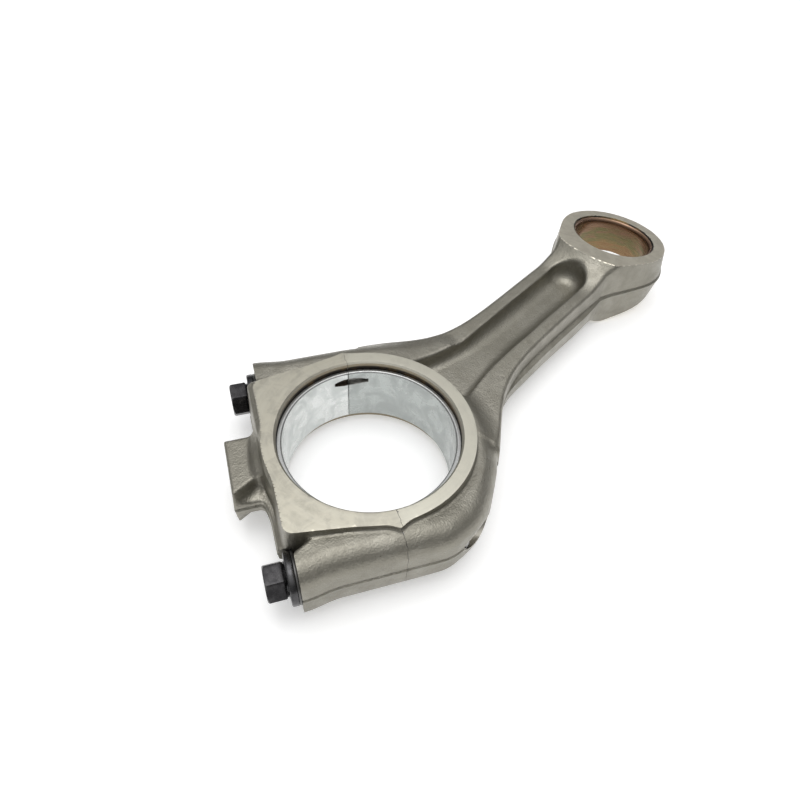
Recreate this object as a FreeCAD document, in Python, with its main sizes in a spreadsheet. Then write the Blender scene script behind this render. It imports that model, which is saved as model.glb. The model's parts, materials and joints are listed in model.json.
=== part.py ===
"""Connecting rod with an oblique, fracture-split big end, as a parametric FreeCAD document.

Row frame: origin at the centre of the big-end bore, on the mid-plane of the forging.
+X runs to the small end, +Z is the axis of both bores, and the rod lies flat.
The split frame is the row frame turned about Z by the split angle, so that its u axis
points from the cap into the rod and its v axis lies along the split. Bolts run along u.
All lengths are in millimetres.
"""
import FreeCAD
import Part
import Sketcher
import math
import os

SIZES = {
    # the whole rod
    "centre_distance": 192.0,
    "split_angle": 31.0,
    # big end: machined faces and housing bore
    "face_half": 18.0,
    "housing_radius": 36.5,
    "ring_radius": 42.2,
    "bore_bevel": 0.7,
    "pad_u": 40.3,
    "pad_side": 36.2,
    "pad_bevel": 3.0,
    "ear_side": 44.2,
    "ear_u": 3.0,
    # big end: forged bosses round the bolts, shoulder and cap back
    "boss_half": 15.5,
    "boss_side": 51.4,
    "boss_inner": 33.0,
    "boss_round": 6.5,
    "outer_boss_end": 17.0,
    "shank_boss_end": 30.0,
    "shoulder_half": 12.5,
    "shoulder_radius": 54.0,
    "shoulder_u": 52.0,
    "shoulder_v": 14.56,
    "root_u": 56.0,
    "root_v": 26.0,
    "back_half": 13.0,
    "back_u": 42.6,
    "seat_u": 38.4,
    "seat_flare": 53.0,
    "seat_flare_u": 27.0,
    "spotface_radius": 10.8,
    # weighing block on the cap
    "block_half": 10.0,
    "block_u": 56.0,
    "block_shank_v": 15.4,
    "block_outer_v": 11.5,
    "block_root": 3.5,
    "block_edge": 1.2,
    "block_sink": 5.0,
    # shank, an I section
    "shank_half": 18.9,
    "waist_start": 94.0,
    "waist_end": 142.0,
    "root_start": 30.0,
    "root_half": 38.0,
    "root_arc": 115.0,
    "neck_end": 178.0,
    "neck_half": 25.6,
    "neck_arc": 105.0,
    "shank_z_start": 9.6,
    "shank_z_end": 11.2,
    "ramp_start": 139.0,
    "ramp_end": 158.5,
    "ramp_arc": 36.0,
    "web_half": 3.6,
    "pocket_start": 47.5,
    "pocket_start_half": 14.2,
    "pocket_waist": 78.0,
    "pocket_half": 9.3,
    "pocket_mouth_arc": 90.0,
    "pocket_end": 148.0,
    "pocket_end_arc": 9.6,
    # small end, wedge shaped
    "eye_centre": 191.6,
    "eye_parting_radius": 30.6,
    "eye_top_radius": 27.0,
    "small_face_near": 19.6,
    "small_face_tip": 9.174,
    "small_tip": 222.4,
    "bush_radius": 21.5,
    "bush_wall": 1.5,
    "bush_inset": 0.6,
    # bearing shells
    "shell_wall": 2.0,
    "lining_wall": 0.4,
    "shell_half": 14.0,
    "tang_z": 8.7,
    "tang_half": 2.0,
    "tang_length": 6.0,
    "tang_height": 1.1,
    "tang_gap": 0.3,
    "tang_root": 3.0,
    # cap bolts and washers
    "bolt_offset": 44.0,
    "thread_radius": 5.5,
    "thread_gap": 0.06,
    "cap_hole_radius": 5.75,
    "waist_radius": 4.9,
    "collar_half": 4.0,
    "thread_start": 2.0,
    "head_shank": 6.0,
    "bolt_reach": 26.0,
    "blind_depth": 31.0,
    "washer_thickness": 1.0,
    "washer_hole_radius": 5.8,
    "flange_radius": 10.0,
    "flange_thickness": 2.8,
    "neck_radius": 6.3,
    "neck_length": 0.8,
    "hex_across_flats": 13.0,
    "hex_height": 7.0,
    # how far solids that are joined run into each other
    "overlap": 1.0,
    # room that a cutting tool has beyond the piece
    "tool_room": 40.0,
}

doc = FreeCAD.newDocument("connecting_rod")
sheet = doc.addObject("Spreadsheet::Sheet", "sheet")
for row, (alias, number) in enumerate(SIZES.items(), start=1):
    sheet.set("A%d" % row, alias)
    sheet.set("B%d" % row, str(number))
    sheet.setAlias("B%d" % row, alias)
doc.recompute()

UP = FreeCAD.Vector(0, 0, 1)
ALONG_U = FreeCAD.Rotation(FreeCAD.Vector(0, 1, 0), 90)
HEX_TURN = 30  # degrees, leaves two corners of a tightened head along the split
TOUCH = 0.1  # how near an edge lies to a face that it is on


def amount(text):
    """The number that a sum of sheet names such as 'seat_u - washer_thickness' stands for."""
    total, sign = 0.0, 1.0
    for word in text.split():
        if word in "+-":
            sign = -1.0 if word == "-" else 1.0
        else:
            total += sign * (SIZES[word] if word in SIZES else float(word))
            sign = 1.0
    return total


def formula(text):
    """The same sum written for setExpression."""
    return " ".join("sheet." + word if word in SIZES else word for word in text.split())


def bind(thing, **properties):
    """Bind each named property to a sum of sheet names."""
    for name, text in properties.items():
        thing.setExpression(name, formula(text))


def turn_to_split(thing):
    """Turn an object that was drawn in the split frame into the row frame."""
    thing.Placement = FreeCAD.Placement(FreeCAD.Vector(), UP, -SIZES["split_angle"])
    thing.setExpression("Placement.Rotation.Angle", "-sheet.split_angle * 1 deg")
    return thing


def new_body(label):
    body = doc.addObject("PartDesign::Body", label)
    body.Label = label
    return body


def plane_of(body, role):
    return [f for f in body.Origin.OriginFeatures if f.Role == role][0]


def arc_between(start, end, radius, side):
    """An arc from start to end. side is 1 when it runs anticlockwise, -1 when clockwise."""
    half = (end - start) * 0.5
    reach = math.sqrt(max(radius**2 - half.Length**2, 0.0))
    across = FreeCAD.Vector(-half.y, half.x, 0).normalize()
    centre = start + half + across * reach * side
    first, last = (start, end) if side > 0 else (end, start)
    angles = [math.atan2(p.y - centre.y, p.x - centre.x) for p in (first, last)]
    if angles[1] < angles[0]:
        angles[1] += 2 * math.pi
    return Part.ArcOfCircle(Part.Circle(centre, UP, radius), *angles)


def outline(body, name, role, points):
    """A closed sketch on one of the body's planes, each corner bound to the sheet.

    A point is (across, up), or (across, up, radius, side) when the edge that ends at it
    is an arc.
    """
    sketch = body.newObject("Sketcher::SketchObject", name)
    sketch.AttachmentSupport = [(plane_of(body, role), "")]
    sketch.MapMode = "FlatFace"
    places = [FreeCAD.Vector(amount(p[0]), amount(p[1]), 0) for p in points]
    starts, ends = [], []
    for i, here in enumerate(places):
        there = points[(i + 1) % len(points)]
        target = places[(i + 1) % len(points)]
        if len(there) == 4:
            radius, side = amount(there[2]), there[3]
            sketch.addGeometry(arc_between(here, target, radius, side), False)
            starts.append(1 if side > 0 else 2)
            ends.append(2 if side > 0 else 1)
        else:
            sketch.addGeometry(Part.LineSegment(here, target), False)
            starts.append(1)
            ends.append(2)
    count = len(points)
    for i in range(count):
        after = (i + 1) % count
        sketch.addConstraint(Sketcher.Constraint("Coincident", i, ends[i], after, starts[after]))
    for i, point in enumerate(points):
        for kind, text, value in (("DistanceX", point[0], places[i].x), ("DistanceY", point[1], places[i].y)):
            c = sketch.addConstraint(Sketcher.Constraint(kind, -1, 1, i, starts[i], value))
            sketch.setExpression("Constraints[%d]" % c, formula(text))
        if len(points[i]) == 4:
            c = sketch.addConstraint(Sketcher.Constraint("Radius", i - 1 if i else count - 1, amount(points[i][2])))
            sketch.setExpression("Constraints[%d]" % c, formula(points[i][2]))
    return sketch


def pad(body, sketch, half):
    """A pad of twice half, evenly to both sides of the sketch."""
    feature = body.newObject("PartDesign::Pad", sketch.Name + "_pad")
    feature.Profile = sketch
    feature.Midplane = True
    feature.setExpression("Length", "2 * (%s)" % formula(half))
    sketch.Visibility = False
    doc.recompute()
    return feature


def edges_at(shape, test):
    """Names of the edges whose middle point passes the test."""
    names = []
    for i, edge in enumerate(shape.Edges, start=1):
        middle = edge.valueAt((edge.FirstParameter + edge.LastParameter) / 2)
        if test(edge, middle):
            names.append("Edge%d" % i)
    return names


def fillet(body, base, names, radius):
    """A fillet of the named edges."""
    feature = body.newObject("PartDesign::Fillet", base.Name + "_fillet")
    feature.Base = (base, names)
    feature.setExpression("Radius", formula(radius))
    doc.recompute()


def cylinder(name, radius, height, at=("0", "0", "0"), along="z"):
    """A cylinder bound to the sheet, along z, or along u when it is drawn in the split frame."""
    thing = doc.addObject("Part::Cylinder", name)
    bind(thing, Radius=radius, Height=height)
    if along == "u":
        thing.Placement = FreeCAD.Placement(FreeCAD.Vector(), ALONG_U)
    for axis, text in zip("xyz", at):
        thing.setExpression("Placement.Base." + axis, formula(text))
    return thing


def cone(name, radii, height, at):
    """An upright cone bound to the sheet, its radii given from the bottom up."""
    thing = doc.addObject("Part::Cone", name)
    bind(thing, Radius1=radii[0], Radius2=radii[1], Height=height)
    for axis, text in zip("xyz", at):
        thing.setExpression("Placement.Base." + axis, formula(text))
    return thing


def box(name, low, size):
    """A box bound to the sheet, from its low corner."""
    thing = doc.addObject("Part::Box", name)
    bind(thing, Length=size[0], Width=size[1], Height=size[2])
    for axis, text in zip("xyz", low):
        thing.setExpression("Placement.Base." + axis, formula(text))
    return thing


def split_box(name, low, size):
    """A box whose low corner and edges are given in the split frame."""
    thing = box(name, ("0", "0", low[2]), size)
    turn_to_split(thing)
    cosine, sine = "cos(sheet.split_angle * 1 deg)", "sin(sheet.split_angle * 1 deg)"
    u, v = formula(low[0]), formula(low[1])
    thing.setExpression("Placement.Base.x", "(%s) * %s + (%s) * %s" % (u, cosine, v, sine))
    thing.setExpression("Placement.Base.y", "(%s) * %s - (%s) * %s" % (v, cosine, u, sine))
    thing.setExpression("Placement.Base.z", formula(low[2]))
    return thing


def fuse(name, *things):
    thing = doc.addObject("Part::MultiFuse", name)
    thing.Shapes = list(things)
    return thing


def cut(name, base, tool):
    thing = doc.addObject("Part::Cut", name)
    thing.Base, thing.Tool = base, tool
    return thing


def common(name, *things):
    thing = doc.addObject("Part::MultiCommon", name)
    thing.Shapes = list(things)
    return thing


# ---------------------------------------------------------------- forging, big end

def big_end_blank():
    """The big end in the split frame: faces, bolt bosses, shoulder, cap back and block."""
    bosses = new_body("bolt_bosses")
    for name, side, end in (("outer", "-", "outer_boss_end"), ("shank", "", "shank_boss_end")):
        flare = side + " seat_flare"
        points = [
            ("- seat_u", side + " boss_inner"),
            ("- seat_u", flare),
            ("- seat_flare_u", side + " boss_side"),
            (end, side + " boss_side"),
            (end, side + " boss_inner"),
        ]
        if side:
            points.reverse()
        blank = pad(bosses, outline(bosses, name + "_boss", "XY_Plane", points), "boss_half")
    level = SIZES["boss_half"] / 2
    edges = edges_at(blank.Shape, lambda e, p: abs(p.y) > SIZES["boss_side"] - TOUCH and abs(p.z) > level)
    fillet(bosses, blank, edges, "boss_round")

    shoulder = new_body("shoulder")
    points = [
        ("0", "- boss_side"),
        ("outer_boss_end", "- boss_side"),
        ("shoulder_u", "- shoulder_v", "shoulder_radius", 1),
        ("root_u", "root_v"),
        ("shank_boss_end", "boss_side"),
        ("0", "boss_side"),
    ]
    pad(shoulder, outline(shoulder, "shoulder_outline", "XY_Plane", points), "shoulder_half")

    back = new_body("cap_back")
    points = [
        ("0", "- boss_inner"),
        ("0", "boss_inner"),
        ("- back_u", "boss_inner"),
        ("- back_u", "- boss_inner"),
    ]
    pad(back, outline(back, "back_outline", "XY_Plane", points), "back_half")

    block = new_body("weighing_block")
    points = [
        ("- back_u + block_sink", "block_shank_v + block_root"),
        ("- back_u", "block_shank_v + block_root"),
        ("- back_u - block_root", "block_shank_v"),
        ("- block_u", "block_shank_v"),
        ("- block_u", "- block_outer_v"),
        ("- back_u - block_root", "- block_outer_v"),
        ("- back_u", "- block_outer_v - block_root"),
        ("- back_u + block_sink", "- block_outer_v - block_root"),
    ]
    slab = pad(block, outline(block, "block_outline", "XY_Plane", points), "block_half")
    root = SIZES["back_u"] + SIZES["block_root"]
    edges = edges_at(slab.Shape, lambda e, p: p.x < -root - SIZES["block_edge"])
    fillet(block, slab, edges, "block_edge")

    faces = new_body("machined_faces")
    points = [
        ("- pad_u", "- pad_side + pad_bevel"),
        ("- pad_u + pad_bevel", "- pad_side"),
        ("- ear_u", "- ring_radius"),
        ("- ear_u", "- ear_side"),
        ("ear_u", "- ear_side"),
        ("ear_u", "ear_side"),
        ("- ear_u", "ear_side"),
        ("- ear_u", "ring_radius"),
        ("- pad_u + pad_bevel", "pad_side"),
        ("- pad_u", "pad_side - pad_bevel"),
    ]
    pad(faces, outline(faces, "face_outline", "XY_Plane", points), "face_half")
    ring = cylinder("thrust_ring", "ring_radius", "face_half + face_half", ("0", "0", "- face_half"))
    return fuse("big_end_blank", bosses, shoulder, back, block, faces, ring)


def bolt_holes():
    """Clearance holes and spot faces in the cap, threaded holes in the rod, all along u."""
    tools = []
    for name, v, depth in (("outer", "- bolt_offset", "root_u"), ("shank", "bolt_offset", "blind_depth")):
        tools += [
            cylinder(name + "_clearance_hole", "cap_hole_radius", "tool_room + tool_room",
                     ("- tool_room - tool_room", v, "0"), "u"),
            cylinder(name + "_threaded_hole", "thread_radius + thread_gap", depth + " + overlap",
                     ("- overlap", v, "0"), "u"),
            cylinder(name + "_spot_face", "spotface_radius", "tool_room", ("- seat_u - tool_room", v, "0"), "u"),
        ]
    return fuse("bolt_holes", *tools)


# ---------------------------------------------------------------- forging, shank and small end

def beam_blank():
    """Shank and small end: the plan outline and the side outline, each pulled through the other."""
    plan = new_body("beam_plan")
    points = [
        ("root_start", "- root_half"),
        ("waist_start", "- shank_half", "root_arc", -1),
        ("waist_end", "- shank_half"),
        ("neck_end", "- neck_half", "neck_arc", -1),
        ("centre_distance", "- neck_half"),
        ("centre_distance", "neck_half"),
        ("neck_end", "neck_half"),
        ("waist_end", "shank_half", "neck_arc", -1),
        ("waist_start", "shank_half"),
        ("root_start", "root_half", "root_arc", -1),
    ]
    pad(plan, outline(plan, "plan_outline", "XY_Plane", points), "small_face_near")
    eye = [cone("small_eye_" + half, low, "small_face_near", ("eye_centre", "0", base))
           for half, low, base in (("upper", ("eye_parting_radius", "eye_top_radius"), "0"),
                                   ("lower", ("eye_top_radius", "eye_parting_radius"), "- small_face_near"))]

    side = new_body("beam_side")
    points = [
        ("root_start", "- shank_z_start"),
        ("ramp_start", "- shank_z_end"),
        ("ramp_end", "- small_face_near", "ramp_arc", -1),
        ("small_tip", "- small_face_tip"),
        ("small_tip", "small_face_tip"),
        ("ramp_end", "small_face_near"),
        ("ramp_start", "shank_z_end", "ramp_arc", -1),
        ("root_start", "shank_z_start"),
    ]
    pad(side, outline(side, "side_outline", "XZ_Plane", points), "tool_room")
    return common("beam_blank", fuse("beam_in_plan", plan, *eye), side)


def shank_pockets():
    """The two long pockets that leave the web between them."""
    shape = new_body("pocket_plan")
    points = [
        ("pocket_start", "- pocket_start_half"),
        ("pocket_waist", "- pocket_half", "pocket_mouth_arc", -1),
        ("pocket_end", "- pocket_half"),
        ("pocket_end", "pocket_half", "pocket_end_arc", 1),
        ("pocket_waist", "pocket_half"),
        ("pocket_start", "pocket_start_half", "pocket_mouth_arc", -1),
    ]
    pad(shape, outline(shape, "pocket_outline", "XY_Plane", points), "tool_room")
    web = box("web", ("0", "- tool_room", "- web_half"),
              ("centre_distance", "tool_room + tool_room", "web_half + web_half"))
    return cut("shank_pockets", shape, web)


def bevelled_hole(name, radius, half, centre):
    """A hole through both faces, with a bevel at each mouth."""
    hole = cylinder(name + "_hole", radius, "tool_room + tool_room", (centre, "0", "- tool_room"))
    wide = radius + " + bore_bevel + overlap"
    lower = cone(name + "_lower_bevel", (wide, radius), "bore_bevel + overlap",
                 (centre, "0", "- " + half + " - overlap"))
    upper = cone(name + "_upper_bevel", (radius, wide), "bore_bevel + overlap",
                 (centre, "0", half + " - bore_bevel"))
    return fuse(name, hole, lower, upper)


def tang_notches():
    """The two notches in the housing that the tangs of the shells lie in, in the split frame."""
    return split_box("tang_notches",
                     ("- tang_length - tang_gap", "housing_radius - tang_root", "tang_z - tang_half - tang_gap"),
                     ("tang_length + tang_length + tang_gap + tang_gap", "tang_root + tang_height + tang_gap",
                      "tang_half + tang_half + tang_gap + tang_gap"))


def forging():
    """The one forging that is cracked into rod and cap after its bores are made."""
    blank = fuse("forging_blank", turn_to_split(big_end_blank()), cut("i_beam", beam_blank(), shank_pockets()))
    housing = bevelled_hole("housing", "housing_radius", "face_half", "0")
    pin_hole = cylinder("bush_hole", "bush_radius", "tool_room + tool_room", ("centre_distance", "0", "- tool_room"))
    tools = fuse("bores", housing, pin_hole, turn_to_split(bolt_holes()), tang_notches())
    return cut("forging", blank, tools)


def half_space(name, low_u, length):
    """A block on one side of the split plane."""
    return split_box(name, (low_u, "- centre_distance", "- tool_room"),
                     (length, "centre_distance + centre_distance", "tool_room + tool_room"))


# ---------------------------------------------------------------- bearings

def ring(name, outer, inner, half, centre="0"):
    """A plain ring about the bore axis."""
    solid = cylinder(name + "_outside", outer, half + " + " + half, (centre, "0", "- " + half))
    hole = cylinder(name + "_inside", inner, "tool_room + tool_room", (centre, "0", "- tool_room"))
    return cut(name, solid, hole)


def shell(side, low_u):
    """The steel back, with its tang, and the lining of one bearing shell."""
    tang_low = "0" if side == "upper" else "- tang_length"
    tang = split_box(side + "_tang", (tang_low, "housing_radius - overlap", "tang_z - tang_half"),
                     ("tang_length", "overlap + tang_height", "tang_half + tang_half"))
    dent = split_box(side + "_dent", (tang_low, "housing_radius - shell_wall - tang_root", "tang_z - tang_half"),
                     ("tang_length", "tang_root + tang_height", "tang_half + tang_half"))
    back = ring(side + "_back_ring", "housing_radius", "housing_radius - shell_wall + lining_wall", "shell_half")
    lining = ring(side + "_lining_ring", "housing_radius - shell_wall + lining_wall",
                  "housing_radius - shell_wall", "shell_half")
    keep = half_space(side + "_shell_side", low_u, "centre_distance")
    return (fuse(side + "_shell_back", common(side + "_back_half", cut(side + "_back_dented", back, dent), keep),
                 common(side + "_tang_kept", tang, keep)),
            common(side + "_shell_lining", cut(side + "_lining_dented", lining, dent), keep))


def bush():
    """The pressed bush, its ends cut to the wedge of the small end."""
    tube = ring("bush_tube", "bush_radius", "bush_radius - bush_wall", "small_face_near", "centre_distance")
    side = new_body("bush_side")
    points = [
        ("ramp_end", "- small_face_near + bush_inset"),
        ("small_tip", "- small_face_tip + bush_inset"),
        ("small_tip", "small_face_tip - bush_inset"),
        ("ramp_end", "small_face_near - bush_inset"),
    ]
    pad(side, outline(side, "bush_outline", "XZ_Plane", points), "tool_room")
    return common("small_end_bush", tube, side)


# ---------------------------------------------------------------- fasteners

def bolt(label, v):
    """A flanged hexagon bolt along u, its shank waisted beside a fitted collar at the split."""
    runs = [
        ("thread", "thread_radius", "thread_start", "bolt_reach - thread_start"),
        ("waist", "waist_radius", "- seat_u + head_shank", "seat_u - head_shank + thread_start + overlap"),
        ("collar", "thread_radius", "- collar_half", "collar_half + overlap"),
        ("head_shank", "thread_radius", "- seat_u - washer_thickness", "head_shank + washer_thickness"),
        ("flange", "flange_radius", "- seat_u - washer_thickness - flange_thickness", "flange_thickness"),
        ("neck", "neck_radius", "- seat_u - washer_thickness - flange_thickness - neck_length", "neck_length"),
    ]
    parts = [cylinder(label + "_" + name, radius, length, (start, v, "0"), "u")
             for name, radius, start, length in runs]
    head = doc.addObject("Part::Prism", label + "_hexagon")
    head.Polygon = 6
    head.setExpression("Circumradius", "sheet.hex_across_flats / (2 * cos(30 deg))")
    bind(head, Height="hex_height")
    head.Placement = FreeCAD.Placement(FreeCAD.Vector(), ALONG_U * FreeCAD.Rotation(UP, HEX_TURN))
    start = "- seat_u - washer_thickness - flange_thickness - neck_length - hex_height"
    bind(head, **{"Placement.Base.x": start, "Placement.Base.y": v})
    return turn_to_split(fuse(label, *parts, head))


def washer(label, v):
    """A plain hardened washer under the flange."""
    disc = cylinder(label + "_disc", "flange_radius", "washer_thickness",
                    ("- seat_u - washer_thickness", v, "0"), "u")
    hole = cylinder(label + "_hole", "washer_hole_radius", "washer_thickness + overlap + overlap",
                    ("- seat_u - washer_thickness - overlap", v, "0"), "u")
    return turn_to_split(cut(label, disc, hole))


# ---------------------------------------------------------------- assembly

raw = forging()
nodes = {
    "rod_body": common("rod_body", raw, half_space("rod_side", "0", "centre_distance + tool_room")),
    "rod_cap": common("rod_cap", raw, half_space("cap_side", "- centre_distance", "centre_distance")),
}
nodes["upper_shell_back"], nodes["upper_shell_lining"] = shell("upper", "0")
nodes["lower_shell_back"], nodes["lower_shell_lining"] = shell("lower", "- centre_distance")
nodes["small_end_bush"] = bush()
for place, offset in (("shank_side", "bolt_offset"), ("outer_side", "- bolt_offset")):
    nodes[place + "_bolt"] = bolt(place + "_bolt", offset)
    nodes[place + "_washer"] = washer(place + "_washer", offset)
doc.recompute()

for thing in doc.Objects:
    if "Invalid" in thing.State or "Error" in thing.State:
        raise RuntimeError("%s failed: %s" % (thing.Name, thing.State))

os.makedirs("parts", exist_ok=True)
for name, thing in nodes.items():
    thing.Label = name
    shape = thing.Shape
    if shape.isNull() or not shape.isValid() or not shape.Solids:
        raise RuntimeError(name + " has no valid solid")
    shape.exportStep("parts/" + name + ".step")
    size = shape.BoundBox
    print("%-20s %d solid(s) %10.1f mm3  x %.1f..%.1f  y %.1f..%.1f  z %.1f..%.1f" % (
        name, len(shape.Solids), shape.Volume, size.XMin, size.XMax, size.YMin, size.YMax, size.ZMin, size.ZMax))
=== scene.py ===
"""Looks of the connecting rod: detailed forging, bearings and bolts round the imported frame.

Shapes are worked out in millimetres and handed to Blender in metres. The split frame has
its u axis from the cap into the rod and its v axis along the split, both level.
"""
import json
import math

import bmesh
import bpy
import numpy as np
from mathutils import Matrix, Vector


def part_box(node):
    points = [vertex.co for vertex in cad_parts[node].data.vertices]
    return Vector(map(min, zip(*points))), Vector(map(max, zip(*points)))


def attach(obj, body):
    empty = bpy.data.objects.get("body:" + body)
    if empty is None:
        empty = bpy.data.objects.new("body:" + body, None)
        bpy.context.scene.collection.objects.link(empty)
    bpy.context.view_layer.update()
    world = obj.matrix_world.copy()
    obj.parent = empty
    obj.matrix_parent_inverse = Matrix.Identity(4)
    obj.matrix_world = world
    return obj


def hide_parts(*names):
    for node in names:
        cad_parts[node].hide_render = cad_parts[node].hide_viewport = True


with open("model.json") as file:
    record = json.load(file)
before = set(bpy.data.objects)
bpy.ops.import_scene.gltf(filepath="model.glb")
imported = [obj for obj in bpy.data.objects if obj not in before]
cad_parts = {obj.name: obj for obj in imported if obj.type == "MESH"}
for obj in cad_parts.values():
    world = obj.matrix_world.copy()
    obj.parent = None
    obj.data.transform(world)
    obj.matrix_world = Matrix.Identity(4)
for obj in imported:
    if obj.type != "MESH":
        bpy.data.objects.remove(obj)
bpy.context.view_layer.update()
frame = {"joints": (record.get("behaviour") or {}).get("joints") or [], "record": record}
MOUNTS = {m["name"]: m for m in frame["record"]["mounts"]}
JOINTS = {j["name"]: j for j in frame["joints"]}
MM = 0.001

# ---------------------------------------------------------------- driving sizes, mm

CENTRES = MOUNTS["small_end_bore"]["pos_m"][0] / MM
PIN_R = MOUNTS["big_end_bore"]["dims"]["r_mm"]
SMALL_BORE_R = MOUNTS["small_end_bore"]["dims"]["r_mm"]
OUT = JOINTS["cap_lift"]["axis"]
UX, UY = -OUT[0], -OUT[1]
HALF = MOUNTS["upper_thrust_face"]["pos_m"][2] / MM
SHELL_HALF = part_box("upper_shell_back")[1][2] / MM
SHELL_WALL = 2.0
LINING_WALL = 0.4
HOUSING_R = PIN_R + SHELL_WALL
HOUSING_BEVEL = 0.75
TANG_Z = 8.7
CAP_TANG_LONG = 6.2
ROD_TANG_LONG = 8.5
RING_R = 42.2
SEAT_U = 38.4
SPOT_R = 10.6
BOLT_V = 44.0
THREAD_R = 5.5
THREAD_PITCH = 1.25
CAP_HOLE_R = 5.75
THROUGH_U = 80.0
BLIND_U = 31.0
WASHER_THICK = 1.0
BUSH_R = SMALL_BORE_R + 1.5
BUSH_BEVEL = 0.6
EYE_R = 28.1
WEDGE_NEAR = 19.6
WEDGE_TIP = 9.5
WEDGE_NEAR_X = 158.5
WEDGE_TIP_X = 220.4
WEDGE_SLOPE = (WEDGE_NEAR - WEDGE_TIP) / (WEDGE_TIP_X - WEDGE_NEAR_X)
WEB_HALF = 3.6
BOSS_HEIGHT = 15.5
BOSS_HALF_WIDTH = 8.5
BOSS_END_U = 46.0
SHOULDER_R = 46.6
WALL_R = 46.5
WALL_HEIGHT = 12.4
BACK_U, BACK_V, BACK_HEIGHT = 42.5, 37.5, 17.2
PAD_U, PAD_V, PAD_CORNER_V = 40.4, 42.3, 36.6
BLOCK_U, BLOCK_NEAR_V, BLOCK_FAR_V, BLOCK_HEIGHT = 56.0, -11.5, 15.2, 10.0
SHANK_HALF_WIDTH = 16.6
SHANK_HEIGHT = 9.5
ROOT_X = 32.5
NECK_X = 156.0
POCKET_HALF_WIDTH = 9.35
POCKET_END_X = 144.4
POCKET_FLARE_X = 76.0
POCKET_RING_R = 43.8
BETWEEN_ENDS_X = 100.0
HALF_CRACK = 0.05
TIP_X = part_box("rod_body")[1][0] / MM - 0.05


# ---------------------------------------------------------------- distance fields

def smin(a, b, k):
    """Union of two fields with a fillet of about k."""
    h = np.clip(0.5 + 0.5 * (b - a) / k, 0, 1)
    return b + (a - b) * h - k * h * (1 - h)


def smax(a, b, k):
    """Intersection of two fields with a rounded edge of about k."""
    return -smin(-a, -b, k)


def corner(a, b, r):
    """Intersection of two half spaces with a true round of radius r."""
    p, q = np.maximum(a + r, 0), np.maximum(b + r, 0)
    return np.minimum(np.maximum(a, b) + r, 0) + np.sqrt(p * p + q * q) - r


def ramp(x, start, end):
    """0 before start, 1 after end, smooth between."""
    t = np.clip((x - start) / (end - start), 0, 1)
    return t * t * (3 - 2 * t)


def slab(x, low, high):
    """Everything between two parallel planes."""
    return np.maximum(low - x, x - high)


def waves(*terms):
    """A sum of sines: a smooth wander with no random numbers."""
    total = 0
    for wave, phase, size in terms:
        total = total + size * np.sin(wave + phase)
    return total


def fracture(v, z):
    """How far the cracked face wanders from the plane of the split."""
    return waves((v * 0.9, 0.4, 0.16), (v * 2.3 + z * 0.7, 1.9, 0.09), (z * 1.1, 0.7, 0.14),
                 (z * 2.9 - v * 0.5, 2.6, 0.07), (v * 0.23, 1.2, 0.25))


def plan_of_faces(u, v, r):
    """Plan of the machined side faces: a thrust ring that runs out to the cap's corners."""
    across = np.abs(v)
    slope = (PAD_V - PAD_CORNER_V) / 38.0
    lean = 1 / math.hypot(1, slope)
    edge = (across - (PAD_V + slope * np.minimum(u, 0))) * lean
    pad = corner(corner(edge, -u - PAD_U, 3.4), u, 0.1)
    ear = np.where(v < 0, 2.3, 1.3) * np.exp(-np.abs((u + 0.7) / 3.0) ** 1.6) * (across > 20)
    return smin(r - RING_R - ear, pad, 1.4)


def boss_path(u, v, r, y):
    """Distance across the ridge over the bolts, which bends round the shoulder near the shank."""
    across = np.maximum(np.abs(v), 1e-6)
    straight = np.hypot(u - np.clip(u, -SEAT_U, BOSS_END_U), np.abs(v) - BOLT_V)
    rise = np.degrees(np.arctan2(u, -v))
    crest = smin(BOLT_V * r / across, np.full_like(r, SHOULDER_R), 1.2)
    lean = across / r + (1 - across / r) * ramp(rise, 14, 24)
    bent = np.abs(r - crest) * lean
    on_line = (y > 0) | (u < 0)
    bar = np.where(on_line, straight, bent)
    inner = np.where(on_line, np.abs(v) < BOLT_V, r < crest)
    return np.where(inner, 0.5 * bar, bar), rise


def big_end(y, z, u, v, r):
    """Forged big end with its machined faces, before any hole."""
    up = np.abs(z)
    bar, rise = boss_path(u, v, r, y)
    near = (y < 0) & (v < 20)
    flare = 1.7 * ramp(-u, 24, 38)
    height = np.where(near, BOSS_HEIGHT - 2.0 * ramp(rise, 5, 45) - 3.4 * ramp(rise, 40, 100),
                      BOSS_HEIGHT - 0.8 * ramp(u, 0, 16) - 4.9 * ramp(u, 12, BOSS_END_U))
    slim = 2.8 * ramp(rise, 32, 58) * near
    boss = corner(bar - BOSS_HALF_WIDTH - flare + slim + 0.04 * up, up - height, 8.0)
    boss = np.maximum(boss, -SEAT_U - u)
    # the wall between the bosses and the bore, and the thick back of the cap
    wall = corner(r - WALL_R, up - WALL_HEIGHT, 2.5)
    back = corner(-u - BACK_U - 0.06 * (HALF - up), np.abs(v) - BACK_V, 2.5)
    back = corner(corner(back, up - BACK_HEIGHT, 1.5), u - 4, 1)
    solid = smin(smin(boss, wall, 2.5), back, 2.5)
    # weighing block on the cap
    lean = 0.05 * (BLOCK_HEIGHT - up)
    sides = slab(v, BLOCK_NEAR_V - lean, BLOCK_FAR_V + 0.4 * lean)
    block = corner(corner(-u - BLOCK_U + 0.04 * up, u + SEAT_U - 0.4, 0.8), sides, 0.8)
    block = corner(block, up - BLOCK_HEIGHT, 1.1)
    return smin(solid, block, 2.5)


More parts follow.
